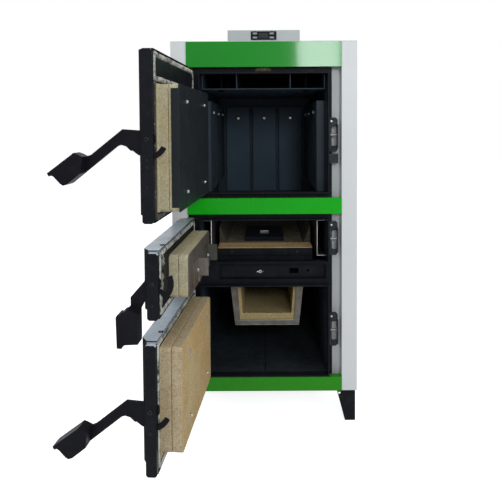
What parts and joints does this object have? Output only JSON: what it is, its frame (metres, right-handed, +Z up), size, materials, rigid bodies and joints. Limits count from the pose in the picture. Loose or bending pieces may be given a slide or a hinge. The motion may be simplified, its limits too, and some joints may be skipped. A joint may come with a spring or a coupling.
{
  "type": "solid fuel boiler",
  "caption": "Wood boiler in a steel casing with three insulated doors standing open on one side, lever latches, a loading chamber, a nozzle and a lower flame channel",
  "frame": {"origin": "centre of the four foot bolt holes at floor level", "axes": "+Z up, +Y from the doors towards the back, +X to the right seen from the front"},
  "size_m": [0.7983, 1.5823, 1.2793],
  "materials": {
    "casing": "light grey powder coat, satin",
    "strips": "green gloss paint",
    "frame": "black paint, satin",
    "chamber": "dark blue-grey heat-resistant paint, worn",
    "covers": "black gloss",
    "levers": "black paint, satin",
    "steel": "bare steel with heat tint",
    "fixings": "zinc plated",
    "keepers": "dark grey paint",
    "board": "tan vermiculite board, rough",
    "refractory": "ash-brown refractory concrete, rough",
    "rope": "off-white ceramic fibre rope",
    "wool": "mineral wool",
    "controls": "grey, satin",
    "screen": "black gloss",
    "keys": "grey, satin",
    "iron": "dark cast iron",
    "pipe": "primed steel pipe"
  },
  "bodies": {
    "boiler": {"legs": "frame", "outer_shell": "chamber", "inner_shell": "chamber", "front_frame": "frame", "casing_left": "casing", "casing_right": "casing", "casing_top": "casing", "rear_panel": "casing", "top_strip": "strips", "middle_strip": "strips", "bottom_strip": "strips", "insulation": "wool", "control_box": "controls", "display": "screen", "smoke_channel": "chamber", "liner_plates": "chamber", "body_bolts": "fixings", "refractory_floor": "refractory", "nozzle": "iron", "sill_board": "board", "sill_plate": "frame", "air_channels": "steel", "air_panel": "frame", "flame_channel": "board", "flame_frame": "steel", "floor_plates": "chamber", "keepers": "keepers", "keeper_pins": "fixings", "door_switch": "keepers", "hinge_brackets": "frame", "flue_box": "chamber", "fan_motor": "iron", "water_sockets": "pipe", "fire_tubes": "pipe"},
    "upper_leaf": {"upper_door": "frame", "upper_cover": "covers", "upper_rope": "rope", "upper_block": "board", "upper_shield": "chamber", "upper_bolts": "fixings"},
    "upper_handle": {"upper_lever": "levers"},
    "middle_leaf": {"middle_door": "frame", "middle_cover": "covers", "middle_rope": "rope", "middle_block": "board", "middle_face": "steel", "middle_bolts": "fixings"},
    "middle_handle": {"middle_lever": "levers"},
    "lower_leaf": {"lower_door": "frame", "lower_cover": "covers", "lower_rope": "rope", "lower_block": "board", "lower_bolts": "fixings"},
    "lower_handle": {"lower_lever": "levers"},
    "panel_nut": {"wing_nut": "fixings"},
    "fan_wheel": {"fan_impeller": "steel"},
    "key_1": {"button_1": "keys"},
    "key_2": {"button_2": "keys"},
    "key_3": {"button_3": "keys"},
    "key_4": {"button_4": "keys"}
  },
  "joints": [
    {"name": "upper_door_hinge", "type": "hinge", "parent": "boiler", "child": "upper_leaf", "pos_m": [-0.23, -0.487, 0.942], "axis": [0, 0, 1], "range_deg": [-6, 94]},
    {"name": "upper_lever_pivot", "type": "hinge", "parent": "upper_leaf", "child": "upper_handle", "pos_m": [-0.26847, -0.9339, 0.942], "axis": [0.0698, 0.9976, 0], "range_deg": [-51, 15]},
    {"name": "middle_door_hinge", "type": "hinge", "parent": "boiler", "child": "middle_leaf", "pos_m": [-0.23, -0.487, 0.603], "axis": [0, 0, 1], "range_deg": [-7, 89.5]},
    {"name": "middle_lever_pivot", "type": "hinge", "parent": "middle_leaf", "child": "middle_handle", "pos_m": [-0.26066, -0.93451, 0.603], "axis": [0.0523, 0.9986, 0], "range_deg": [0, 66]},
    {"name": "lower_door_hinge", "type": "hinge", "parent": "boiler", "child": "lower_leaf", "pos_m": [-0.23, -0.487, 0.3005], "axis": [0, 0, 1], "range_deg": [-6, 94]},
    {"name": "lower_lever_pivot", "type": "hinge", "parent": "lower_leaf", "child": "lower_handle", "pos_m": [-0.26847, -0.9339, 0.3005], "axis": [0.0698, 0.9976, 0], "range_deg": [-51, 15]},
    {"name": "button_1_press", "type": "slide", "parent": "boiler", "child": "key_1", "axis": [0, 1, 0], "range_m": [0, 0.0015], "stiffness_N_per_m": 300},
    {"name": "button_2_press", "type": "slide", "parent": "boiler", "child": "key_2", "axis": [0, 1, 0], "range_m": [0, 0.0015], "stiffness_N_per_m": 300},
    {"name": "button_3_press", "type": "slide", "parent": "boiler", "child": "key_3", "axis": [0, 1, 0], "range_m": [0, 0.0015], "stiffness_N_per_m": 300},
    {"name": "button_4_press", "type": "slide", "parent": "boiler", "child": "key_4", "axis": [0, 1, 0], "range_m": [0, 0.0015], "stiffness_N_per_m": 300},
    {"name": "wing_nut_turn", "type": "hinge", "parent": "boiler", "child": "panel_nut", "pos_m": [-0.016, -0.4425, 0.4905], "axis": [0, -1, 0], "range_deg": [-90, 90]},
    {"name": "fan_spin", "type": "hinge", "parent": "boiler", "child": "fan_wheel", "pos_m": [0, 0.52, 1.094], "axis": [0, 1, 0], "continuous": true}
  ]
}
